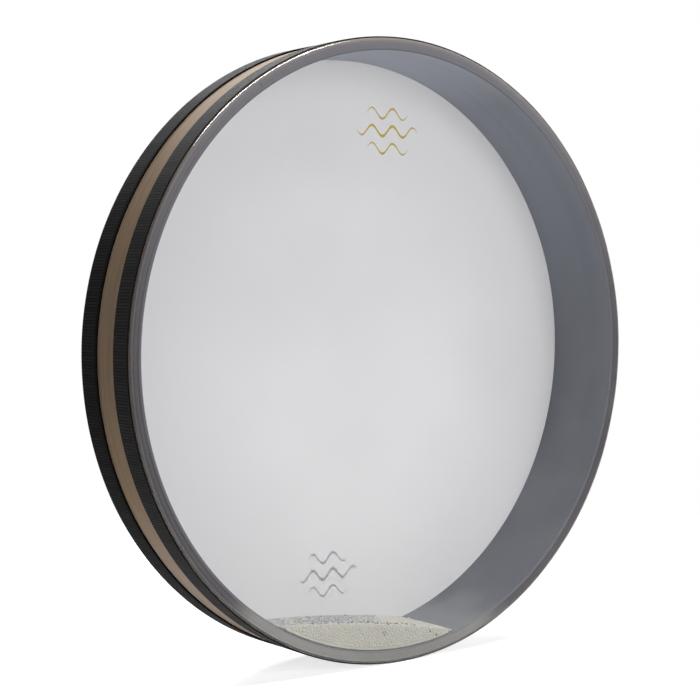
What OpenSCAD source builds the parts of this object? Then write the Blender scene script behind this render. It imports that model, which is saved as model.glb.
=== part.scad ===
// Ocean drum: a wide, shallow wooden hoop closed by a clear head in front and a white head behind,
// with loose beads lying inside at the bottom. The drum stands on its rim, axis along Y,
// clear head towards -Y, lowest point at z = 0. Millimetres.

/* [Shell] */
// Outside diameter of the wooden shell
shell_d = 508; // [400:1:600]
// Width of the shell from rim to rim
shell_depth = 73; // [60:0.5:110]
// Thickness of the outer and of the inner face ply
face_ply_t = 1.5; // [1:0.1:2]
// Thickness of each of the three core plies
core_ply_t = 2.3; // [1.4:0.1:3]
// Radius of the rounded outer edge that the heads fold over
edge_r = 2; // [1:0.1:3]
// Bevel along the inner edge of each rim
inner_bevel = 0.6; // [0.4:0.1:1.4]
// Gap left where the two ends of a ply or of a tape meet
seam_gap = 0.4; // [0.3:0.1:1]

/* [Heads] */
// Thickness of the head film
film_t = 0.25; // [0.2:0.05:0.4]
// How far the margin of the film reaches down the outside of the shell
margin_w = 16; // [10:0.5:16.5]
// Thickness of the glue between margin and shell
glue_t = 0.2; // [0.2:0.05:0.4]

/* [Tapes] */
// Width of the tape at the clear head
front_tape_w = 21.5; // [17:0.5:24]
// Width of the tape at the white head
rear_tape_w = 23.5; // [17:0.5:30]
// Thickness of the tapes
tape_t = 0.8; // [0.5:0.1:1.5]
// Distance of each tape's outer edge from the plane of the rim
tape_setback = 1.2; // [0.8:0.1:3]

/* [Beads] */
// Diameter of one bead
bead_d = 2.2; // [1.6:0.1:3]
// Half of the angle that the heap spans on the shell
heap_half_angle = 19.1; // [15:0.1:28]
// Height of the heap's crown above the straight line between its two ends
crown_rise = 4.3; // [2:0.1:12]
// How far the heap lies to the left of the lowest point, in degrees
heap_lean = 5; // [-10:0.5:10]
// How far the crest of the heap runs to the right on its way to the white head
crest_drift = 55; // [0:1:70]
// How much lower the crest is at the white head
crest_fall = 6.5; // [0:0.5:8]
// Distance between modelled beads along the heap
bead_step = 7; // [6:0.5:9]
// Number of bead rows in each third of the width
rows_per_third = 3; // [1:1:3]

/* [Fits] */
// Space between the heap and the shell or the heads
heap_gap = 0.4; // [0.3:0.1:1]
// Space between layers that lie on one another
layer_gap = 0.03; // [0.02:0.01:0.1]
// Space between a bead and the heap below it
bead_gap = 0.1; // [0.05:0.05:0.2]
// Space between a head and the face of the rim
head_gap = 0.05; // [0.02:0.01:0.1]
// Space between the end of a head's margin and the step in the tape
step_gap = 0.3; // [0.2:0.1:0.6]
// Distance of the glue from the start of the rounded edge
glue_inset = 0.3; // [0.1:0.1:1]

/* [Hidden] */

wood = [0.72, 0.55, 0.36];
core_wood = [0.62, 0.50, 0.38];
grey_paint = [0.46, 0.47, 0.49];
clear_film = [0.85, 0.90, 0.92, 0.3];
white_film = [0.93, 0.93, 0.93];
tape_black = [0.06, 0.06, 0.06];
glue_tan = [0.75, 0.68, 0.50];
bead_cream = [0.90, 0.88, 0.80];

// Shell radii and half width
shell_r = shell_d / 2;
half_depth = shell_depth / 2;
wall = 2 * face_ply_t + 3 * core_ply_t;
bore_r = shell_r - wall;
// Angle of the outer ply's seam, also the start of the rings laid on it
outer_seam = -20;

// Layers on the outside of the shell, from the wood outwards
glue_in_r = shell_r + layer_gap;
film_in_r = glue_in_r + glue_t + layer_gap;
film_out_r = film_in_r + film_t;
tape_in_r = film_out_r + layer_gap;
drum_r = tape_in_r + tape_t;
film_in_y = half_depth + head_gap;
film_out_y = film_in_y + film_t;
fold_r = edge_r + (film_in_r - shell_r + head_gap) / 2;
margin_end = half_depth - margin_w;
glue_start = half_depth - edge_r - glue_inset;

// Heap: its outside follows the bore, its top is a shallow round crown whose axis runs askew
heap_r = bore_r - heap_gap;
heap_w = 2 * (film_in_y - heap_gap);
half_chord = heap_r * sin(heap_half_angle);
crown_r = (half_chord * half_chord + crown_rise * crown_rise) / (2 * crown_rise);
crown_axis_y = -heap_r * cos(heap_half_angle) + crown_rise - crown_r;
core_r = crown_r - bead_d - bead_gap;
crest_run = norm([crest_drift, crest_fall, heap_w]);
crest = [-crest_drift, crest_fall, heap_w] / crest_run;

// Rows of modelled beads on the crown
rows = 3 * rows_per_third;
row_step = heap_w / rows;
bead_r = crown_r - bead_d / 2;
bead_count = ceil((half_chord + crest_drift / 2) / bead_step) + 1;
shake = min(bead_step, row_step) / 2 - bead_d / 2 - bead_gap;
shakes = rands(-1, 1, 2 * rows * (2 * bead_count + 1), 11);

// Height of a bead's centre over the drum's axis where it lies on the crown
function bead_height(x, along) =
    let (k = x * crest[0] + along * crest[2])
    let (a = 1 - crest[1] * crest[1])
    let (rest = x * x + along * along - k * k - bead_r * bead_r)
    crown_axis_y + (k * crest[1] + sqrt(k * k * crest[1] * crest[1] - a * rest)) / a;

// Puts a shape turned about Z into its place: axis along Y, front end towards -Y
module in_place() {
    translate([0, 0, drum_r])
        rotate([90, 0, 0])
            children();
}

// Puts a heap shape drawn about the drum's axis into its place
module in_heap() {
    in_place()
        rotate([0, 0, -heap_lean])
            children();
}

// Half section of the whole shell, across the radius and along the axis
module shell_section() {
    difference() {
        union() {
            translate([bore_r, -half_depth])
                square([wall - edge_r, shell_depth]);
            translate([bore_r, -half_depth + edge_r])
                square([wall, shell_depth - 2 * edge_r]);
            for (side = [-1, 1])
                translate([shell_r - edge_r, side * (half_depth - edge_r)])
                    circle(r = edge_r, $fn = 64);
        }
        for (side = [-1, 1])
            translate([bore_r, side * half_depth])
                rotate(45)
                    square(inner_bevel * sqrt(2), center = true);
    }
}

// One ply between two radii, a strip bent round until its ends meet at the seam
module ply(inner_r, outer_r, seam) {
    in_place()
        rotate([0, 0, seam])
            rotate_extrude(angle = 360 - seam_gap / outer_r * 180 / PI, $fn = 240)
                intersection() {
                    shell_section();
                    translate([inner_r + layer_gap, -shell_depth])
                        square([outer_r - inner_r - layer_gap, 2 * shell_depth]);
                }
}

module shell_outer_ply() {
    color(wood)
        ply(shell_r - face_ply_t, shell_r, outer_seam);
}

module shell_core_ply_1() {
    color(core_wood)
        ply(shell_r - face_ply_t - core_ply_t, shell_r - face_ply_t, 52);
}

module shell_core_ply_2() {
    color(core_wood)
        ply(shell_r - face_ply_t - 2 * core_ply_t, shell_r - face_ply_t - core_ply_t, 124);
}

module shell_core_ply_3() {
    color(core_wood)
        ply(bore_r + face_ply_t, shell_r - face_ply_t - 2 * core_ply_t, 196);
}

module shell_inner_ply() {
    color(grey_paint)
        ply(bore_r - layer_gap, bore_r + face_ply_t, 160);
}

// Glue ring between the margin of a head and the shell, front end up
module glue_ring() {
    rotate([0, 0, outer_seam])
        rotate_extrude($fn = 240)
            translate([glue_in_r, margin_end])
                square([glue_t, glue_start - margin_end]);
}

module front_glue() {
    color(glue_tan)
        in_place()
            glue_ring();
}

module rear_glue() {
    color(glue_tan)
        in_place()
            mirror([0, 0, 1])
                glue_ring();
}

// Film head: a flat disc, a fold round the edge and a margin down the outside, front end up
module head() {
    rotate([0, 0, outer_seam])
        rotate_extrude($fn = 240)
            union() {
                translate([0, film_in_y])
                    square([film_in_r - fold_r, film_t]);
                translate([film_in_r - fold_r, film_in_y - fold_r])
                    intersection() {
                        difference() {
                            circle(r = fold_r + film_t, $fn = 64);
                            circle(r = fold_r, $fn = 64);
                        }
                        square(fold_r + film_t + 1);
                    }
                translate([film_in_r, margin_end])
                    square([film_t, film_in_y - fold_r - margin_end]);
            }
}

module front_head() {
    color(clear_film)
        in_place()
            head();
}

module rear_head() {
    color(white_film)
        in_place()
            mirror([0, 0, 1])
                head();
}

// Tape ring that covers the margin of a head and ends on the bare wood, front end up
module tape(tape_w, seam) {
    tape_start = half_depth - tape_setback;
    tape_end = tape_start - tape_w;
    rotate([0, 0, seam])
        rotate_extrude(angle = 360 - seam_gap / drum_r * 180 / PI, $fn = 240)
            union() {
                translate([tape_in_r, tape_end])
                    square([tape_t, tape_w]);
                translate([glue_in_r, tape_end])
                    square([drum_r - glue_in_r, margin_end - step_gap - tape_end]);
            }
}

module front_tape() {
    color(tape_black)
        in_place()
            tape(front_tape_w, -38);
}

module rear_tape() {
    color(tape_black)
        in_place()
            mirror([0, 0, 1])
                tape(rear_tape_w, -44);
}

// The packed beads below the surface, one lens-shaped body for all of them
module bead_heap() {
    color(bead_cream)
        in_heap()
            intersection() {
                cylinder(r = heap_r, h = heap_w, center = true, $fn = 720);
                translate([0, crown_axis_y, 0])
                    rotate([-asin(crest[1]), atan2(crest[0], crest[2]), 0])
                        cylinder(r = core_r, h = 2 * (half_chord + heap_w), center = true, $fn = 1440);
            }
}

// Beads lying on the heap, in the rows of one third of the width
module bead_rows(third) {
    color(bead_cream)
        in_heap()
            for (row = [third * rows_per_third : (third + 1) * rows_per_third - 1])
                for (i = [-bead_count : bead_count]) {
                    k = 2 * (row * (2 * bead_count + 1) + i + bead_count);
                    x = i * bead_step + shakes[k] * shake;
                    along = heap_w / 2 - (row + 0.5) * row_step + shakes[k + 1] * shake;
                    height = bead_height(x, along);
                    if (norm([x, height]) + bead_d / 2 < heap_r)
                        translate([x, height, along])
                            sphere(d = bead_d, $fn = 24);
                }
}

module front_beads() {
    bead_rows(0);
}

module middle_beads() {
    bead_rows(1);
}

module rear_beads() {
    bead_rows(2);
}

shell_outer_ply();
shell_core_ply_1();
shell_core_ply_2();
shell_core_ply_3();
shell_inner_ply();
front_glue();
rear_glue();
front_head();
rear_head();
front_tape();
rear_tape();
bead_heap();
front_beads();
middle_beads();
rear_beads();
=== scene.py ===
import math

import bmesh
import bpy
import numpy as np
from mathutils import Matrix, Vector


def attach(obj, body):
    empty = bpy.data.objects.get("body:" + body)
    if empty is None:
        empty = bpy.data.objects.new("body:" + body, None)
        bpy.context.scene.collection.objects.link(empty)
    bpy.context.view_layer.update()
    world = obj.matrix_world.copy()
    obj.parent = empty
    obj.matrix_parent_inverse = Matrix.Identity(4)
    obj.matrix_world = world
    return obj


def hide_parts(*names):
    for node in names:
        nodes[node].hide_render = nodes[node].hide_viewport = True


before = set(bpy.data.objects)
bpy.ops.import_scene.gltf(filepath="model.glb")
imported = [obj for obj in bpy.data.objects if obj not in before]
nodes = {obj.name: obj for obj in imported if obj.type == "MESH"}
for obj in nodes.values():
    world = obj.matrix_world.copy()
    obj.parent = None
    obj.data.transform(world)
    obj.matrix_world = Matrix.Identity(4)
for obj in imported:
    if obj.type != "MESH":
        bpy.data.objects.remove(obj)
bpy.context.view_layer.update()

# Driving sizes of the drum in metres, as in the part's source
SHELL_R = 0.254
HALF_DEPTH = 0.0365
FACE_PLY = 0.0015
CORE_PLY = 0.0023
EDGE_R = 0.002
INNER_BEVEL = 0.0006
SEAM_GAP = 0.0004
FILM_T = 0.00025
MARGIN_W = 0.016
GLUE_T = 0.0002
FRONT_TAPE_W = 0.0215
REAR_TAPE_W = 0.0235
TAPE_T = 0.0008
TAPE_SETBACK = 0.0012
BEAD_D = 0.0022
HEAP_HALF_ANGLE = math.radians(19.1)
CROWN_RISE = 0.0043
HEAP_LEAN = math.radians(5.0)
CREST_DRIFT = 0.055
CREST_FALL = 0.0065
HEAP_GAP = 0.0004
LAYER_GAP = 0.00003
HEAD_GAP = 0.00005
STEP_GAP = 0.0003

# Sizes that follow from them
BORE_R = SHELL_R - 2 * FACE_PLY - 3 * CORE_PLY
GLUE_IN_R = SHELL_R + LAYER_GAP
FILM_IN_R = GLUE_IN_R + GLUE_T + LAYER_GAP
FILM_OUT_R = FILM_IN_R + FILM_T
TAPE_IN_R = FILM_OUT_R + LAYER_GAP
DRUM_R = TAPE_IN_R + TAPE_T
FILM_IN_Y = HALF_DEPTH + HEAD_GAP
FILM_OUT_Y = FILM_IN_Y + FILM_T
FOLD_R = EDGE_R + (FILM_IN_R - SHELL_R + HEAD_GAP) / 2
MARGIN_END = HALF_DEPTH - MARGIN_W
AXIS_Z = DRUM_R
HEAP_R = BORE_R - HEAP_GAP
HEAP_W = 2 * (FILM_IN_Y - HEAP_GAP)
HALF_CHORD = HEAP_R * math.sin(HEAP_HALF_ANGLE)
CROWN_R = (HALF_CHORD ** 2 + CROWN_RISE ** 2) / (2 * CROWN_RISE)
CROWN_AXIS_Y = -HEAP_R * math.cos(HEAP_HALF_ANGLE) + CROWN_RISE - CROWN_R
CREST = np.array([-CREST_DRIFT, CREST_FALL, HEAP_W])
CREST = CREST / np.linalg.norm(CREST)

# Beads: radius, least distance between two, distance in a row, and radius at which the lowest ones lie
BEAD_R = BEAD_D / 2
BEAD_SPACING = 0.95 * BEAD_D
ROW_SPACING = 0.97 * BEAD_D
LOWEST_R = HEAP_R + 0.75 * HEAP_GAP - BEAD_R
# Half of the width in which beads are laid, and how many places are tried for each bead
REACH = HALF_CHORD + CREST_DRIFT / 2 + 4 * BEAD_D
TRIES_PER_BEAD = 60

# Ink on the heads: its thickness, and where the two motifs lie from the drum's centre
INK_T = 0.00002
FRONT_MOTIF = (-0.017, 0.1785)
REAR_MOTIF = (-0.0226, -0.1907)
# Wave lines of a motif: length and height of a wave, and for each line its width, place and stroke
WAVE_LENGTH = 0.042
WAVE_HEIGHT = 0.0042
WAVE_LINES = ((0.042, 0.014, 0.0019), (0.062, 0.0, 0.0025), (0.042, -0.014, 0.0019))

# Ribs of the tapes: number round the drum, depth of the grooves, and height over a rib, from groove to groove
RIBS = 668
RIB_DEPTH = 0.00012
RIB_SHAPE = (0.0, 0.62, 0.95, 1.0, 0.95, 0.62)
# The tapes stay this much inside the drum's outer radius
TAPE_INSET = 0.00002
# Sway of the tapes along the axis: numbers of waves round the drum, least and most height of each
SWAY_WAVES = (5, 9, 14, 23)
SWAY_LEAST = 0.00002
SWAY_MOST = 0.00007

# Middle of the pale patch at the bottom of the painted plies, which is painted light, as a turn round the
# drum
PALE_TURN = math.radians(262.0)

# Faces round each turned piece
STEPS = 720

# The same random draws in each run
rng = np.random.default_rng(20)


def link(name, mesh):
    obj = bpy.data.objects.new(name, mesh)
    bpy.context.scene.collection.objects.link(obj)
    return obj


def mesh_from(name, verts, faces, sharp_deg=None):
    mesh = bpy.data.meshes.new(name)
    mesh.from_pydata(verts, [], faces)
    mesh.validate()
    mesh.update()
    if sharp_deg is not None:
        mesh.shade_smooth()
        mesh.set_sharp_from_angle(angle=math.radians(sharp_deg))
    return mesh


def dress(obj, mat, body, slot, *replaced):
    """Gives a piece its material and its body, and hides the nodes that it stands for. Its finish, slot, is
    not used.
    """
    obj.data.materials.clear()
    obj.data.materials.append(mat)
    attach(obj, body)
    if replaced:
        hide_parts(*replaced)
    return obj


# Shader helpers

def srgb(r, g, b):
    def linear(c):
        c /= 255.0
        return c / 12.92 if c <= 0.04045 else ((c + 0.055) / 1.055) ** 2.4
    return (linear(r), linear(g), linear(b))


def material(name):
    mat = bpy.data.materials.new(name)
    mat.use_nodes = True
    tree = mat.node_tree
    tree.nodes.clear()
    return mat, tree, tree.nodes.new("ShaderNodeOutputMaterial")


def feed(tree, socket, value):
    """Sets an input to a number or a colour, or links it to an output."""
    if isinstance(value, bpy.types.NodeSocket):
        tree.links.new(value, socket)
    elif isinstance(value, tuple) and len(value) == 3 and socket.type == "RGBA":
        socket.default_value = (*value, 1.0)
    else:
        socket.default_value = value


def node(tree, kind, inputs=None, **settings):
    made = tree.nodes.new(kind)
    for key, value in settings.items():
        setattr(made, key, value)
    for key, value in (inputs or {}).items():
        feed(tree, made.inputs[key], value)
    return made


def calc(tree, operation, a, b=0.0, clamp=False):
    return node(tree, "ShaderNodeMath", {0: a, 1: b}, operation=operation, use_clamp=clamp).outputs[0]


def fade(tree, value, low, high):
    """0 below low, 1 above high and smooth between them."""
    made = node(tree, "ShaderNodeMapRange", {"Value": value, "From Min": low, "From Max": high},
                interpolation_type="SMOOTHSTEP")
    return made.outputs[0]


def vector(tree, x, y, z):
    return node(tree, "ShaderNodeCombineXYZ", {0: x, 1: y, 2: z}).outputs[0]


def noise(tree, where, scale, detail=4.0, roughness=0.55):
    made = node(tree, "ShaderNodeTexNoise",
                {"Vector": where, "Scale": scale, "Detail": detail, "Roughness": roughness})
    return made.outputs["Fac"]


def ramp(tree, factor, *stops):
    made = node(tree, "ShaderNodeValToRGB", {0: factor})
    elements = made.color_ramp.elements
    while len(elements) < len(stops):
        elements.new(0.5)
    for element, (position, colour) in zip(elements, stops):
        element.position = position
        element.color = (*colour, 1.0)
    return made.outputs[0]


def blend(tree, factor, a, b, mode="MIX"):
    made = node(tree, "ShaderNodeMix", data_type="RGBA", blend_type=mode)
    for index, value in ((0, factor), (6, a), (7, b)):
        feed(tree, made.inputs[index], value)
    return made.outputs[2]


def bump(tree, height, strength, distance):
    made = node(tree, "ShaderNodeBump", {"Height": height, "Strength": strength, "Distance": distance})
    return made.outputs["Normal"]


def place(tree):
    return tree.nodes.new("ShaderNodeTexCoord").outputs["Object"]


def round_drum(tree):
    """Cosine and sine of the turn round the drum's axis, place along the axis, and radius."""
    x, y, z = node(tree, "ShaderNodeSeparateXYZ", {0: place(tree)}).outputs
    up = calc(tree, "SUBTRACT", z, AXIS_Z)
    square = calc(tree, "ADD", calc(tree, "MULTIPLY", x, x), calc(tree, "MULTIPLY", up, up))
    radius = calc(tree, "SQRT", square)
    return calc(tree, "DIVIDE", x, radius), calc(tree, "DIVIDE", up, radius), y, radius


def drum_noise(tree, arc, axis, depth, detail, roughness):
    """Noise without a seam, with its own scale round the drum, along the axis and across the plies."""
    cosine, sine, y, radius = round_drum(tree)
    where = vector(tree, calc(tree, "MULTIPLY", cosine, arc * SHELL_R),
                   calc(tree, "MULTIPLY", sine, arc * SHELL_R), calc(tree, "MULTIPLY", y, axis))
    inputs = {"Vector": where, "W": calc(tree, "MULTIPLY", radius, depth),
              "Scale": 1.0, "Detail": detail, "Roughness": roughness}
    return node(tree, "ShaderNodeTexNoise", inputs, noise_dimensions="4D").outputs["Fac"]


def towards(tree, turn):
    """1 at a turn round the drum, 0 a quarter of a turn away from it."""
    across, up, _, _ = round_drum(tree)
    return calc(tree, "ADD", calc(tree, "MULTIPLY", across, math.cos(turn)),
                calc(tree, "MULTIPLY", up, math.sin(turn)))


# Materials

def wood_material():
    """Light veneer, its grain round the drum, its lower face paler and greyer by painted light from below.
    The rounded edges are stained, their fronts painted, both made paler towards the top by painted light, and
    dark at the bottom."""
    mat, tree, out = material("natural_wood")
    cosine, up, y, _ = round_drum(tree)
    grain = drum_noise(tree, 12.0, 360.0, 360.0, 6.0, 0.6)
    pores = drum_noise(tree, 16.0, 1500.0, 1.0, 3.0, 0.5)
    cloud = drum_noise(tree, 7.0, 7.0, 7.0, 2.0, 0.5)
    colour = ramp(tree, grain, (0.30, srgb(159, 133, 106)), (0.48, srgb(173, 149, 125)),
                  (0.62, srgb(179, 156, 132)), (0.80, srgb(165, 138, 111)))
    dark = calc(tree, "MULTIPLY", calc(tree, "SUBTRACT", pores, 0.54, True), 1.4, True)
    colour = blend(tree, dark, colour, srgb(124, 98, 73))
    colour = blend(tree, calc(tree, "MULTIPLY", cloud, 0.25), colour, srgb(164, 138, 111))
    # Painted light from below: the lower face turns paler and greyer.
    low = calc(tree, "MULTIPLY", fade(tree, calc(tree, "MULTIPLY", up, -1.0), 0.35, 0.75), 0.6)
    colour = blend(tree, low, colour, srgb(202, 183, 170))
    depth = calc(tree, "ABSOLUTE", y)
    stained = fade(tree, depth, HALF_DEPTH - EDGE_R, HALF_DEPTH - 0.6 * EDGE_R)
    # Painted light: the stained and painted rounded edges turn paler towards the top.
    height = fade(tree, up, 0.3, 0.9)
    stain_with_painted_light = blend(tree, height, srgb(60, 50, 44), srgb(146, 137, 131))
    colour = blend(tree, stained, colour, stain_with_painted_light)
    askew = calc(tree, "ADD", depth, calc(tree, "MULTIPLY", cosine, 0.11 * EDGE_R))
    painted = fade(tree, askew, HALF_DEPTH - 0.24 * EDGE_R, HALF_DEPTH - 0.14 * EDGE_R)
    paint = blend(tree, height, srgb(92, 90, 94), srgb(150, 145, 144))
    colour = blend(tree, painted, colour, paint)
    # The rounded edges turn near-black round the bottom.
    dark_round_bottom = calc(tree, "MULTIPLY", stained, fade(tree, towards(tree, PALE_TURN), 0.83, 0.89))
    colour = blend(tree, dark_round_bottom, colour, srgb(40, 39, 37))
    rough = calc(tree, "ADD", calc(tree, "MULTIPLY", grain, 0.2), 0.55)
    gloss = calc(tree, "MULTIPLY", calc(tree, "SUBTRACT", 1.0, stained), 0.04)
    shader = node(tree, "ShaderNodeBsdfPrincipled",
                  {"Base Color": colour, "Roughness": rough, "Specular IOR Level": gloss,
                   "Normal": bump(tree, pores, 0.25, 0.0002)})
    tree.links.new(shader.outputs[0], out.inputs[0])
    return mat


def paint_material(name, low, high, top, bottom, rise, joint=None, edge=None):
    """Thin grey paint, streaked along the plies, made paler towards the top and in a patch at the bottom by
    painted light.
    It gets paler where the sine of the turn passes rise. A light line follows the joint to the inner ply.
    The inner ply has fainter streaks, a paler top, also painted light, and bevelled edges of their own
    colour."""
    mat, tree, out = material(name)
    _, up, y, radius = round_drum(tree)
    to_patch = towards(tree, PALE_TURN)
    rings = drum_noise(tree, 1.5, 60.0, 700.0, 5.0, 0.6)
    mottle = drum_noise(tree, 22.0, 22.0, 22.0, 5.0, 0.55)
    peel = drum_noise(tree, 900.0, 900.0, 900.0, 2.0, 0.5)
    drift = calc(tree, "MULTIPLY", calc(tree, "SUBTRACT", mottle, 0.5), 0.12)
    colour = ramp(tree, mottle, (0.35, low), (0.65, high))
    # Painted light: paler towards the top.
    colour = blend(tree, fade(tree, calc(tree, "ADD", up, drift), rise, 1.0), colour, top)
    if joint:
        line = calc(tree, "SUBTRACT", fade(tree, radius, joint + 0.0002, joint + 0.0004),
                    fade(tree, radius, joint + 0.0007, joint + 0.0009))
        colour = blend(tree, calc(tree, "MULTIPLY", line, 0.5), colour, srgb(150, 149, 154))
    if edge:
        # Painted light: the top of the inner ply is paler still.
        colour = blend(tree, fade(tree, up, 0.84, 1.0), colour, srgb(178, 183, 194))
        bevel = fade(tree, calc(tree, "ABSOLUTE", y),
                     HALF_DEPTH - 1.2 * INNER_BEVEL, HALF_DEPTH - 0.8 * INNER_BEVEL)
        colour = blend(tree, bevel, colour, edge)
    # Painted light: a pale patch at the bottom, round PALE_TURN.
    colour = blend(tree, fade(tree, calc(tree, "ADD", to_patch, drift), 0.81, 0.91), colour, bottom)
    streaks = ramp(tree, rings, (0.30, (0.74, 0.73, 0.74)), (0.50, (0.94, 0.93, 0.93)),
                   (0.68, (1.0, 0.98, 0.96)))
    colour = blend(tree, 0.4 if edge else 1.0, colour, streaks, "MULTIPLY")
    rough = calc(tree, "ADD", calc(tree, "MULTIPLY", mottle, 0.2), 0.40)
    shader = node(tree, "ShaderNodeBsdfPrincipled",
                  {"Base Color": colour, "Roughness": rough, "Specular IOR Level": 0.06,
                   "Normal": bump(tree, peel, 0.12, 0.0002)})
    tree.links.new(shader.outputs[0], out.inputs[0])
    return mat


def clear_film_material():
    """Clear film that lets most light through and mirrors the rest, most of all at the polished fold."""
    mat, tree, out = material("clear_film")
    waves = noise(tree, place(tree), 5.0, 2.0, 0.4)
    haze = noise(tree, place(tree), 60.0, 4.0, 0.6)
    folded = fade(tree, round_drum(tree)[3], FILM_IN_R - 1.3 * FOLD_R, FILM_IN_R - 0.7 * FOLD_R)
    rough = calc(tree, "ADD", calc(tree, "MULTIPLY", haze, 0.04),
                 calc(tree, "ADD", calc(tree, "MULTIPLY", folded, 0.10), 0.03))
    mirror = node(tree, "ShaderNodeBsdfGlossy",
                  {"Color": (1.0, 1.0, 1.0), "Roughness": rough, "Normal": bump(tree, waves, 0.05, 0.002)})
    clear = node(tree, "ShaderNodeBsdfTransparent", {"Color": (0.98, 0.979, 0.979)})
    front = calc(tree, "SUBTRACT", 1.0, tree.nodes.new("ShaderNodeNewGeometry").outputs["Backfacing"])
    gloss = calc(tree, "ADD", folded, 0.2)
    faces = calc(tree, "MULTIPLY", node(tree, "ShaderNodeFresnel", {"IOR": 1.6}).outputs[0], gloss, True)
    share = calc(tree, "MULTIPLY", faces, front)
    mix = node(tree, "ShaderNodeMixShader", {0: share, 1: clear.outputs[0], 2: mirror.outputs[0]})
    tree.links.new(mix.outputs[0], out.inputs[0])
    return mat


def white_film_material():
    """Milky film that lets part of the light through, made a little greyer towards the shell by painted
    shade.
    """
    mat, tree, out = material("white_film")
    cloud = noise(tree, place(tree), 9.0, 3.0, 0.5)
    fibre = noise(tree, place(tree), 420.0, 3.0, 0.6)
    colour = ramp(tree, cloud, (0.3, srgb(235, 235, 236)), (0.7, srgb(239, 239, 240)))
    # Painted shade: greyer towards the shell.
    wear_and_painted_shade = fade(tree, round_drum(tree)[3], 0.4 * BORE_R, 0.95 * BORE_R)
    colour = blend(tree, wear_and_painted_shade, colour, srgb(232, 232, 233))
    rough = calc(tree, "ADD", calc(tree, "MULTIPLY", fibre, 0.15), 0.42)
    face = node(tree, "ShaderNodeBsdfPrincipled",
                {"Base Color": colour, "Roughness": rough, "Specular IOR Level": 0.1,
                 "Normal": bump(tree, fibre, 0.06, 0.0001)})
    through = node(tree, "ShaderNodeBsdfTranslucent", {"Color": colour})
    mix = node(tree, "ShaderNodeMixShader", {0: 0.5, 1: face.outputs[0], 2: through.outputs[0]})
    tree.links.new(mix.outputs[0], out.inputs[0])
    return mat


def tape_material(name, rib, shine):
    """Black woven tape with a sheen on its ribs, duller between them and a little darker there, which is
    painted shade.
    """
    mat, tree, out = material(name)
    radius = round_drum(tree)[3]
    yarn = node(tree, "ShaderNodeTexWave",
                {"Vector": place(tree), "Scale": 110.0, "Distortion": 0.6, "Detail": 2.0},
                wave_type="BANDS", bands_direction="Y", wave_profile="SIN").outputs["Fac"]
    fluff = drum_noise(tree, 700.0, 700.0, 700.0, 3.0, 0.6)
    cloud = drum_noise(tree, 30.0, 30.0, 30.0, 4.0, 0.6)
    ridge = fade(tree, radius, DRUM_R - RIB_DEPTH, DRUM_R)
    # Painted shade: the hollows between the ribs are a little darker.
    groove_painted_shade = tuple(0.85 * c for c in rib)
    colour = blend(tree, ridge, groove_painted_shade, rib)
    colour = blend(tree, calc(tree, "MULTIPLY", fluff, 0.3), colour, srgb(20, 19, 19))
    colour = blend(tree, calc(tree, "MULTIPLY", cloud, 0.15), colour, srgb(30, 29, 29))
    lustre = calc(tree, "ADD", calc(tree, "MULTIPLY", ridge, 0.55), 0.45)
    sheen = calc(tree, "MULTIPLY", lustre, 0.05)
    height = calc(tree, "ADD", calc(tree, "MULTIPLY", yarn, 0.7), calc(tree, "MULTIPLY", fluff, 0.5))
    rough = calc(tree, "SUBTRACT", calc(tree, "ADD", calc(tree, "MULTIPLY", fluff, 0.2), 0.80),
                 calc(tree, "MULTIPLY", lustre, 0.34))
    gloss = calc(tree, "MULTIPLY", lustre, shine)
    shader = node(tree, "ShaderNodeBsdfPrincipled",
                  {"Base Color": colour, "Roughness": rough, "Specular IOR Level": gloss,
                   "Sheen Weight": sheen, "Sheen Roughness": 0.35,
                   "Normal": bump(tree, height, 0.5, 0.00012)})
    tree.links.new(shader.outputs[0], out.inputs[0])
    return mat


def glue_material():
    mat, tree, out = material("glue")
    lump = noise(tree, place(tree), 120.0, 4.0, 0.6)
    colour = ramp(tree, lump, (0.3, srgb(186, 168, 122)), (0.7, srgb(206, 190, 150)))
    rough = calc(tree, "ADD", calc(tree, "MULTIPLY", lump, 0.3), 0.25)
    shader = node(tree, "ShaderNodeBsdfPrincipled", {"Base Color": colour, "Roughness": rough})
    tree.links.new(shader.outputs[0], out.inputs[0])
    return mat


def bead_material():
    """Small cream beads; the tint of each runs from cream over blue-grey to the dark ones, the blue-grey and
    dark tints being painted shade.
    """
    mat, tree, out = material("beads")
    tint = node(tree, "ShaderNodeAttribute", attribute_name="tint").outputs["Fac"]
    speck = noise(tree, place(tree), 900.0, 2.0, 0.5)
    # Tints past 0.6 are painted shade: blue-grey, and dark at 1.
    colour = ramp(tree, tint, (0.0, srgb(207, 205, 195)), (0.3, srgb(221, 219, 209)),
                  (0.6, srgb(215, 213, 203)), (0.7, srgb(196, 198, 201)),
                  (0.9, srgb(168, 172, 179)), (1.0, srgb(84, 86, 94)))
    colour = blend(tree, calc(tree, "MULTIPLY", speck, 0.15), colour, srgb(210, 208, 196))
    rough = calc(tree, "ADD", calc(tree, "MULTIPLY", speck, 0.2), 0.22)
    shader = node(tree, "ShaderNodeBsdfPrincipled",
                  {"Base Color": colour, "Roughness": rough, "Specular IOR Level": 0.2})
    tree.links.new(shader.outputs[0], out.inputs[0])
    return mat


def ink_material():
    """Gold ink with a little wear."""
    mat, tree, out = material("gold_ink")
    wear_and_painted_shade = noise(tree, place(tree), 300.0, 4.0, 0.6)
    colour = ramp(tree, wear_and_painted_shade, (0.3, srgb(158, 138, 52)), (0.65, srgb(194, 170, 72)))
    rough = calc(tree, "ADD", calc(tree, "MULTIPLY", wear_and_painted_shade, 0.2), 0.30)
    shader = node(tree, "ShaderNodeBsdfPrincipled",
                  {"Base Color": colour, "Roughness": rough, "Metallic": 0.15})
    tree.links.new(shader.outputs[0], out.inputs[0])
    return mat


# Turned pieces: plies and heads

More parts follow.
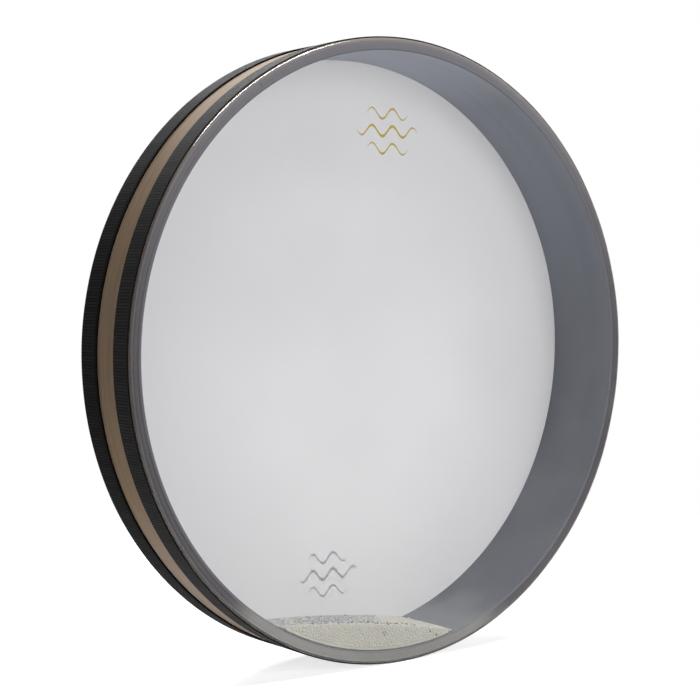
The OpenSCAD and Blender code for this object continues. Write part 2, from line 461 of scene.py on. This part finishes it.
def arc_points(centre_r, centre_y, radius, first_deg, last_deg, count=12):
    turns = np.radians(np.linspace(first_deg, last_deg, count))
    return [(centre_r + radius * math.cos(t), centre_y + radius * math.sin(t)) for t in turns]


def lathe(name, outline, seam_deg=None):
    """A closed outline of (radius, y) points turned about the drum's axis, open at a seam if one is given."""
    area = sum(a[0] * b[1] - b[0] * a[1] for a, b in zip(outline, outline[1:] + outline[:1]))
    if area < 0:
        outline = outline[::-1]
    whole = seam_deg is None
    sweep = 2 * math.pi if whole else 2 * math.pi - SEAM_GAP / SHELL_R
    rings = STEPS if whole else STEPS + 1
    turns = math.radians(seam_deg or 0.0) + np.arange(rings) * sweep / STEPS
    verts, index = [], np.zeros((rings, len(outline)), int)
    for j, (radius, y) in enumerate(outline):
        pole = radius < 1e-9
        for i, turn in enumerate(turns[:1] if pole else turns):
            index[i, j] = len(verts)
            verts.append((radius * math.cos(turn), y, AXIS_Z + radius * math.sin(turn)))
        if pole:
            index[:, j] = index[0, j]
    faces = []
    for i in range(STEPS):
        for j in range(len(outline)):
            k = (j + 1) % len(outline)
            loop = [index[i, j], index[(i + 1) % rings, j], index[(i + 1) % rings, k], index[i, k]]
            corners = list(dict.fromkeys(int(v) for v in loop))
            if len(corners) > 2:
                faces.append(corners[::-1])
    if not whole:
        faces.append([int(v) for v in index[0]])
        faces.append([int(v) for v in index[-1]][::-1])
    return link(name, mesh_from(name, verts, faces, sharp_deg=40))


def mirrored(half):
    """The outline made of points at the rear side and of the same points at the front side."""
    return half + [(r, -y) for r, y in reversed(half)]


def outer_ply_outline():
    inner = SHELL_R - FACE_PLY + LAYER_GAP
    start = math.degrees(math.acos((inner - SHELL_R + EDGE_R) / EDGE_R))
    return mirrored(arc_points(SHELL_R - EDGE_R, HALF_DEPTH - EDGE_R, EDGE_R, start, 0.0))


def first_core_outline():
    inner = SHELL_R - FACE_PLY - CORE_PLY + LAYER_GAP
    end = math.degrees(math.acos((EDGE_R - FACE_PLY) / EDGE_R))
    rounded = arc_points(SHELL_R - EDGE_R, HALF_DEPTH - EDGE_R, EDGE_R, 90.0, end, 4)
    return mirrored([(inner, HALF_DEPTH)] + rounded)


def plain_core_outline(outer):
    return mirrored([(outer - CORE_PLY + LAYER_GAP, HALF_DEPTH), (outer, HALF_DEPTH)])


def inner_ply_outline():
    return mirrored([(BORE_R, HALF_DEPTH - INNER_BEVEL), (BORE_R + INNER_BEVEL, HALF_DEPTH),
                     (BORE_R + FACE_PLY, HALF_DEPTH)])


def head_outline(side):
    """Flat disc, fold and margin of a head; its outer face leaves room for the ink."""
    fold = (FILM_IN_R - FOLD_R, FILM_IN_Y - FOLD_R)
    flat = FILM_OUT_Y - INK_T
    # Radii between which the rings of faces on the flat disc lie
    radii = [0.0, 0.06, 0.12, 0.18, 0.23]
    outside = [(r, flat) for r in radii] + arc_points(*fold, FOLD_R + FILM_T - INK_T, 90.0, 0.0)
    inside = arc_points(*fold, FOLD_R, 0.0, 90.0) + [(r, FILM_IN_Y) for r in reversed(radii)]
    points = outside + [(FILM_OUT_R - INK_T, MARGIN_END), (FILM_IN_R, MARGIN_END)] + inside
    return [(r, side * y) for r, y in points]


def motif(name, side, centre, mat):
    """Three wave lines of thin ink on the outer face of a head."""
    verts, faces = [], []
    near, far = side * (FILM_OUT_Y - INK_T), side * FILM_OUT_Y
    count = 64
    for width, drop, stroke in WAVE_LINES:
        first = len(verts)
        for u in np.linspace(-1.0, 1.0, count):
            x = centre[0] + u * width / 2
            z = AXIS_Z + centre[1] + drop + WAVE_HEIGHT * math.sin(2 * math.pi * u * width / WAVE_LENGTH)
            half = 0.5 * stroke * math.sqrt(max(0.04, 1.0 - u * u))
            verts += [(x, near, z - half), (x, near, z + half), (x, far, z + half), (x, far, z - half)]
        for i in range(count - 1):
            a = first + 4 * i
            faces += [(a + j, a + (j + 1) % 4, a + 4 + (j + 1) % 4, a + 4 + j) for j in range(4)]
        last = first + 4 * (count - 1)
        faces += [(first + 3, first + 2, first + 1, first), (last, last + 1, last + 2, last + 3)]
    obj = link(name, mesh_from(name, verts, faces))
    shape = bmesh.new()
    shape.from_mesh(obj.data)
    bmesh.ops.recalc_face_normals(shape, faces=shape.faces)
    shape.to_mesh(obj.data)
    shape.free()
    return dress(obj, mat, "drum", "white_film" if side > 0 else "clear_film")


def build_shell():
    wood = wood_material()
    outer = SHELL_R - FACE_PLY
    veneer = lathe("outer_veneer", outer_ply_outline(), seam_deg=-20.0)
    dress(veneer, wood, "drum", "natural_wood", "shell_outer_ply")
    inner = BORE_R + FACE_PLY
    # Each core ply: outline, seam in degrees, two tones, tone at the top, which is painted light, and joint
    # to the inner ply
    cores = ((first_core_outline(), 52.0, srgb(92, 90, 93), srgb(104, 101, 104),
              srgb(152, 147, 148), None),
             (plain_core_outline(outer - CORE_PLY), 124.0, srgb(99, 97, 102), srgb(111, 108, 111),
              srgb(139, 138, 143), None),
             (plain_core_outline(outer - 2 * CORE_PLY), 196.0, srgb(87, 86, 91), srgb(100, 98, 101),
              srgb(133, 133, 140), inner))
    for number, (outline, seam, low, high, top, joint) in enumerate(cores, 1):
        # Painted light: the top tone and the bottom tone of the pale patch.
        paint = paint_material(f"rim_paint_{number}", low, high, top, bottom=srgb(166, 165, 162),
                               rise=0.0, joint=joint)
        veneer = lathe(f"core_veneer_{number}", outline, seam)
        dress(veneer, paint, "drum", "core_wood", f"shell_core_ply_{number}")
    # Painted light: the inner ply's top and bottom tones.
    paint = paint_material("inner_paint", low=srgb(107, 110, 117), high=srgb(118, 121, 128),
                           top=srgb(152, 156, 165), bottom=srgb(146, 148, 151), rise=-1.0,
                           edge=srgb(124, 124, 130))
    veneer = lathe("inner_veneer", inner_ply_outline(), seam_deg=160.0)
    dress(veneer, paint, "drum", "grey_wood", "shell_inner_ply")


def build_heads():
    glue = glue_material()
    for name in ("front_glue", "rear_glue"):
        nodes[name].data.materials.clear()
        nodes[name].data.materials.append(glue)
    dress(lathe("front_film", head_outline(-1)), clear_film_material(), "drum", "clear_film", "front_head")
    dress(lathe("rear_film", head_outline(1)), white_film_material(), "drum", "white_film", "rear_head")
    ink = ink_material()
    motif("front_motif", -1, FRONT_MOTIF, ink)
    motif("rear_motif", 1, REAR_MOTIF, ink)


# Woven tapes

def selvage(width):
    """The smooth band along an edge of a tape, rounded at its end. Each point has a distance from the edge,
    a drop below the outer radius and a weight of the ribs."""
    rounded = [(0.0, 0.00045, 0.0), (0.0001, 0.0002, 0.0), (0.0005, 0.00006, 0.0)]
    return rounded + [(0.8 * width, 0.00004, 0.1), (width, 0.0, 1.0)]


def tape_section(width, selvages, start):
    """Section of a tape whose outer edge lies at start: its outside and its underside.
    Outside: distance from the outer edge, drop below the outer radius, weight of the ribs.
    Underside: place along the axis and radius, with the step down to the shell past the head's margin."""
    outer_selvage, inner_selvage = selvages
    across = selvage(outer_selvage) + [(width * share, 0.0, 1.0) for share in (0.35, 0.5, 0.65)]
    across += [(width - a, drop, weight) for a, drop, weight in reversed(selvage(inner_selvage))]
    step = MARGIN_END - STEP_GAP
    under = [(start - width, GLUE_IN_R), (step, GLUE_IN_R), (step, TAPE_IN_R), (start, TAPE_IN_R)]
    # The step stays in its place; the rest sways along the axis
    sways = [1.0, 0.0, 0.0, 1.0]
    return across, under, sways


def tape_faces(count, row, side):
    """Faces of a closed section of row points that is swept in count steps and closed at both ends."""
    faces = []
    for i in range(count):
        a, b = i * row, (i + 1) * row
        for j in range(row):
            k = (j + 1) % row
            faces.append((a + j, a + k, b + k, b + j)[::-side])
    faces.append(tuple(range(row))[::side])
    faces.append(tuple(range(count * row, count * row + row))[::-side])
    return faces


def tape_piece(name, replaced, width, selvages, side, seam_deg, mat):
    """Ribbed tape round the drum. side is -1 at the clear head and 1 at the white head."""
    per_rib = len(RIB_SHAPE)
    count = RIBS * per_rib
    start = HALF_DEPTH - TAPE_SETBACK
    across, under, sways = tape_section(width, selvages, start)
    turn = np.linspace(0.0, 2 * math.pi - SEAM_GAP / DRUM_R, count + 1) + math.radians(seam_deg)
    rib = np.array(RIB_SHAPE)[np.arange(count + 1) % per_rib]
    rib = rib * np.repeat(rng.uniform(0.75, 1.0, RIBS + 1), per_rib)[: count + 1]
    sway = sum(rng.uniform(SWAY_LEAST, SWAY_MOST) * np.sin(waves * turn + rng.uniform(0, 6.28))
               for waves in SWAY_WAVES)
    radii = [DRUM_R - TAPE_INSET - drop - RIB_DEPTH * weight * (1.0 - rib) for _, drop, weight in across]
    radii += [np.full(count + 1, radius) for _, radius in under]
    places = [start - a + sway for a, _, _ in across]
    places += [y + share * sway for (y, _), share in zip(under, sways)]
    lines = [np.stack([r * np.cos(turn), side * y, AXIS_Z + r * np.sin(turn)], -1)
             for r, y in zip(radii, places)]
    co = np.stack(lines, 1).reshape(-1, 3).tolist()
    faces = tape_faces(count, len(lines), side)
    obj = link(name, mesh_from(name, co, faces, sharp_deg=180))
    dress(obj, mat, "drum", "black_tape", replaced)
    return obj


def build_tapes():
    front_weave = tape_material("front_weave", rib=srgb(31, 30, 30), shine=0.066)
    rear_weave = tape_material("rear_weave", rib=srgb(23, 22, 22), shine=0.034)
    tape_piece("front_tape_woven", "front_tape", FRONT_TAPE_W, selvages=(0.0018, 0.0022),
               side=-1, seam_deg=-38.0, mat=front_weave)
    tape_piece("rear_tape_woven", "rear_tape", REAR_TAPE_W, selvages=(0.0036, 0.0050),
               side=1, seam_deg=-44.0, mat=rear_weave)


# Beads

def spread(u_low, u_high, v_low, v_high, least, first=()):
    """Points of a rectangle in no order, tightly filled, none nearer to another than the least distance.
    The first points are kept as they are."""
    cell = least / math.sqrt(2)
    columns, lines = int((u_high - u_low) / cell) + 1, int((v_high - v_low) / cell) + 1
    grid = -np.ones((columns + 4, lines + 4), int)
    points = []
    tries = int(TRIES_PER_BEAD * (u_high - u_low) * (v_high - v_low) / least ** 2)
    more = rng.uniform([u_low, v_low], [u_high, v_high], (tries, 2))
    for u, v in [*first, *more]:
        i, j = int((u - u_low) / cell) + 2, int((v - v_low) / cell) + 2
        near = grid[i - 2:i + 3, j - 2:j + 3]
        others = [points[k] for k in near[near >= 0]]
        if all((a - u) ** 2 + (b - v) ** 2 >= least ** 2 for a, b in others):
            grid[i, j] = len(points)
            points.append((u, v))
    return np.array(points)


def crown_height(x, along, radius):
    """Height over the drum's axis of the heap's crown, or of one of another radius about the same axis."""
    k = x * CREST[0] + along * CREST[2]
    a = 1 - CREST[1] ** 2
    rest = x ** 2 + along ** 2 - k ** 2 - radius ** 2
    return CROWN_AXIS_Y + (k * CREST[1] + np.sqrt(k ** 2 * CREST[1] ** 2 - a * rest)) / a


def to_drum(p):
    """From the heap's own frame (across, up, along the axis to the front) to the part's frame."""
    c, s = math.cos(HEAP_LEAN), math.sin(HEAP_LEAN)
    return np.stack([p[:, 0] * c + p[:, 1] * s, -p[:, 2], AXIS_Z - p[:, 0] * s + p[:, 1] * c], -1)


def bead_piece(name, centres, tint, mat, *replaced):
    """Separate beads of slightly different sizes as one mesh, each with its own tint."""
    one = bmesh.new()
    bmesh.ops.create_icosphere(one, subdivisions=2, radius=BEAD_R)
    ball = np.array([v.co[:] for v in one.verts])
    corners = np.array([[v.index for v in face.verts] for face in one.faces])
    one.free()
    count = len(centres)
    verts = ball[None] * rng.uniform(0.90, 1.0, count)[:, None, None] + centres[:, None]
    faces = corners[None] + (np.arange(count) * len(ball))[:, None, None]
    mesh = bpy.data.meshes.new(name)
    mesh.vertices.add(count * len(ball))
    mesh.vertices.foreach_set("co", verts.ravel().astype(np.float32))
    mesh.loops.add(faces.size)
    mesh.loops.foreach_set("vertex_index", faces.ravel().astype(np.int32))
    mesh.polygons.add(faces.size // 3)
    mesh.polygons.foreach_set("loop_start", np.arange(0, faces.size, 3, dtype=np.int32))
    mesh.update(calc_edges=True)
    mesh.shade_smooth()
    tints = mesh.attributes.new("tint", "FLOAT", "POINT")
    tints.data.foreach_set("value", np.repeat(tint, len(ball)).astype(np.float32))
    return dress(link(name, mesh), mat, "beads", "beads", *replaced)


def cream(p):
    """Tints of plain cream beads."""
    return rng.uniform(0.0, 0.6, len(p))


def top_tint(p):
    """Cream with painted shade: a blue-grey patch behind, and some dark beads along the front edge of the
    patch.
    """
    # Painted shade patch: slant and place of its right end, end of its sparse left part, front edge, shares
    # of grey beads
    slant, right, sparse_left, front = 0.76, 0.019, -0.058, 0.014
    sparse_share, full_share = 0.45, 0.8
    # Dark beads of painted shadow: middle and half length across, middle and half width behind the front,
    # share
    dark_x, dark_half_x, dark_behind, dark_half_width, dark_share = -0.012, 0.055, 0.012, 0.004, 0.3
    askew = p[:, 0] + slant * p[:, 2] + rng.normal(0.0, 0.010, len(p))
    behind = HEAP_W / 2 - p[:, 2] + rng.normal(0.0, 0.002, len(p))
    chance = rng.uniform(0, 1, len(p))
    share = np.where(askew < sparse_left, sparse_share, full_share)
    grey = (askew < right) & (behind > front) & (chance < share)
    in_row = (np.abs(p[:, 0] - dark_x) < dark_half_x) & (np.abs(behind - dark_behind) < dark_half_width)
    dark = in_row & (chance < dark_share)
    return np.where(dark, 1.0, np.where(grey, rng.uniform(0.69, 0.96, len(p)), cream(p)))


def face_tint(p):
    """Cream with some grey beads not far below the crown, which are painted shade."""
    half_x, deepest, share = 0.06, 0.009, 0.09
    below = crown_height(p[:, 0], p[:, 2], CROWN_R) - p[:, 1]
    grey = (np.abs(p[:, 0]) < half_x) & (below < deepest) & (rng.uniform(0, 1, len(p)) < share)
    return np.where(grey, rng.uniform(0.75, 1.0, len(p)), cream(p))


def on_bore(p, over):
    """The beads that lie inside the bore. Those past it by no more than a share of a bead move in."""
    p = p[np.hypot(p[:, 0], p[:, 1]) < LOWEST_R + over * BEAD_D + 1e-6]
    inward = np.minimum(1.0, LOWEST_R / np.hypot(p[:, 0], p[:, 1]))
    return p * np.stack([inward, inward, np.ones(len(p))], -1)


def bore_row():
    """Places (across, up) of beads side by side along the bore."""
    most = math.asin(REACH / LOWEST_R)
    turns = np.arange(-most, most, ROW_SPACING / LOWEST_R)
    return np.stack([LOWEST_R * np.sin(turns), -LOWEST_R * np.cos(turns)], -1)


def crown_edge():
    """Places (across, along) of beads side by side where the crown meets the bore."""
    points = []
    samples = 4001
    x = np.linspace(-REACH, REACH, samples)
    for along in np.arange(-HEAP_W / 2 + BEAD_R, HEAP_W / 2 - BEAD_R, ROW_SPACING):
        inside = np.hypot(x, crown_height(x, along, CROWN_R - BEAD_R)) < HEAP_R - BEAD_R
        points += [(x[inside][0], along), (x[inside][-1], along)]
    return points


def crown_layer(depth, first, over):
    """Beads that lie a share of a bead below the crown."""
    half = HEAP_W / 2 - BEAD_R
    x, along = spread(-REACH, REACH, -HEAP_W / 2 + BEAD_R, half, BEAD_SPACING, first).T
    height = crown_height(x, along, CROWN_R - BEAD_R - (depth + rng.uniform(0, 0.2, len(x))) * BEAD_D)
    return on_bore(np.stack([x, height, along], -1), over)


def face_layer(side, depth):
    """Beads that lie a share of a bead behind the clear head (side 1) or the white head (side -1)."""
    x, height = spread(-REACH, REACH, -HEAP_R, -0.8 * HEAP_R, BEAD_SPACING, bore_row()).T
    along = side * (HEAP_W / 2 - BEAD_R - (depth + rng.uniform(0, 0.12, len(x))) * BEAD_D)
    below = height < crown_height(x, along, CROWN_R - BEAD_R - 0.7 * BEAD_D)
    return on_bore(np.stack([x, height, along], -1)[below], 0.0)


def heap_core(mat):
    """The beads deep in the heap, as one body that lies behind the modelled ones."""
    core = link("heap_core", nodes["bead_heap"].data.copy())
    co = np.array([v.co[:] for v in core.data.vertices])
    middle = (co.min(0) + co.max(0)) / 2
    depth = 1 - 0.9 * BEAD_D / HEAP_W
    co = middle + (co - middle) * (0.99, depth, 1.0) + (0, 0, 0.5 * BEAD_D)
    core.data.vertices.foreach_set("co", co.ravel())
    dress(core, mat, "beads", "beads", "bead_heap")


def build_beads():
    mat = bead_material()
    top = crown_layer(0.0, crown_edge(), 0.25)
    lower = crown_layer(0.6, (), 0.0)
    stood_for = ("front_beads", "middle_beads", "rear_beads")
    bead_piece("top_beads", to_drum(top), top_tint(top), mat, *stood_for)
    bead_piece("lower_beads", to_drum(lower), cream(lower), mat)
    for side, name in ((1, "front_face_beads"), (-1, "rear_face_beads")):
        p = np.concatenate([face_layer(side, depth) for depth in (0.0, 0.45)])
        bead_piece(name, to_drum(p), face_tint(p), mat)
    heap_core(mat)


# Camera, floor and light

def add_camera():
    """Camera fitted to the rim's outlines in the photograph."""
    image_px = 700
    yaw, pitch = math.radians(-37.26), math.radians(2.36)
    distance, focal_px, side, rise = 1.3206, 1581.0, -0.0214, 0.0005
    back = Vector((math.sin(yaw) * math.cos(pitch), -math.cos(yaw) * math.cos(pitch), math.sin(pitch)))
    right = Vector((math.cos(yaw), math.sin(yaw), 0))
    up = back.cross(right)
    camera = bpy.data.cameras.new("camera")
    camera.sensor_width = 36.0
    camera.lens = camera.sensor_width * focal_px / image_px
    camera.clip_start, camera.clip_end = 0.05, 50
    obj = link("camera", camera)
    where = Vector((0, 0, AXIS_Z)) + back * distance + right * side + up * rise
    obj.matrix_world = Matrix.Translation(where) @ Matrix((right, up, back)).transposed().to_4x4()
    bpy.context.scene.camera = obj


def seen_rays(tree):
    """1 for rays that show the background: those of the camera, through film and off glossy faces."""
    path = tree.nodes.new("ShaderNodeLightPath").outputs
    seen = calc(tree, "MAXIMUM", path["Is Camera Ray"], path["Is Transmission Ray"])
    return calc(tree, "MAXIMUM", seen, path["Is Glossy Ray"])


def add_floor():
    """White floor that shows the drum's shadow near it and is plain white further off.
    The light that it throws back on the drum is dark at the contact and fades far off."""
    size = 6
    corners = [(-size, -size, 0), (size, -size, 0), (size, size, 0), (-size, size, 0)]
    obj = link("floor", mesh_from("floor", corners, [(0, 1, 2, 3)]))
    mat, tree, out = material("floor")
    white = node(tree, "ShaderNodeBsdfDiffuse", {"Color": (0.9, 0.9, 0.9)})
    glow = node(tree, "ShaderNodeEmission", {"Strength": 0.76})
    near = node(tree, "ShaderNodeAddShader", {0: white.outputs[0], 1: glow.outputs[0]})
    far = node(tree, "ShaderNodeEmission", {"Strength": 1.0})
    away = node(tree, "ShaderNodeVectorMath", {0: place(tree)}, operation="LENGTH").outputs["Value"]
    shown = node(tree, "ShaderNodeMixShader",
                 {0: fade(tree, away, 0.4, 1.0), 1: near.outputs[0], 2: far.outputs[0]})
    tones = ((0.02, 0.2), (0.11, 0.88), (0.5, 0.86), (1.0, 0.4))
    grey = ramp(tree, away, *((distance, (tone, tone, tone)) for distance, tone in tones))
    dull = node(tree, "ShaderNodeBsdfDiffuse", {"Color": grey})
    mix = node(tree, "ShaderNodeMixShader", {0: seen_rays(tree), 1: dull.outputs[0], 2: shown.outputs[0]})
    tree.links.new(mix.outputs[0], out.inputs[0])
    obj.data.materials.append(mat)


def add_world():
    """White where it is seen, and dim as a light."""
    dim = 0.04
    world = bpy.data.worlds.new("studio")
    bpy.context.scene.world = world
    world.use_nodes = True
    tree = world.node_tree
    tree.nodes.clear()
    out = tree.nodes.new("ShaderNodeOutputWorld")
    strength = calc(tree, "ADD", calc(tree, "MULTIPLY", seen_rays(tree), 1.0 - dim), dim)
    sky = node(tree, "ShaderNodeBackground", {"Color": (1.0, 1.0, 1.0), "Strength": strength})
    tree.links.new(sky.outputs[0], out.inputs[0])


def add_lamp(name, where, size, power, lights=True, glints=True):
    """A rectangular lamp that lights the pieces, shows as glints on them, or both."""
    light = bpy.data.lights.new(name, "AREA")
    light.shape = "RECTANGLE"
    light.size, light.size_y = size
    light.energy = power
    obj = link(name, light)
    obj.visible_diffuse, obj.visible_glossy = lights, glints
    obj.location = where
    obj.rotation_euler = (Vector((0, 0, AXIS_Z)) - Vector(where)).to_track_quat("-Z", "Y").to_euler()


def add_lamps():
    """Key, top and back light the drum. Strip shows as the glint on the clear film's fold, and edge as the
    glint on the tapes."""
    behind, behind_size = (0.48, 2.1, 1.93), (1.2, 0.8)
    add_lamp("key", (0.25, -2.3, 0.78), (1.4, 1.2), 26.5, glints=False)
    add_lamp("top", (-0.1, -0.57, 2.28), (1.9, 0.22), 25, glints=False)
    add_lamp("strip", (-0.165, -0.57, 2.28), (1.93, 0.6), 120, lights=False)
    add_lamp("back", behind, behind_size, 31, glints=False)
    add_lamp("edge", behind, behind_size, 58, lights=False)


build_shell()
build_heads()
build_tapes()
build_beads()
add_camera()
add_floor()
add_world()
add_lamps()
bpy.context.scene.view_settings.view_transform = "Standard"
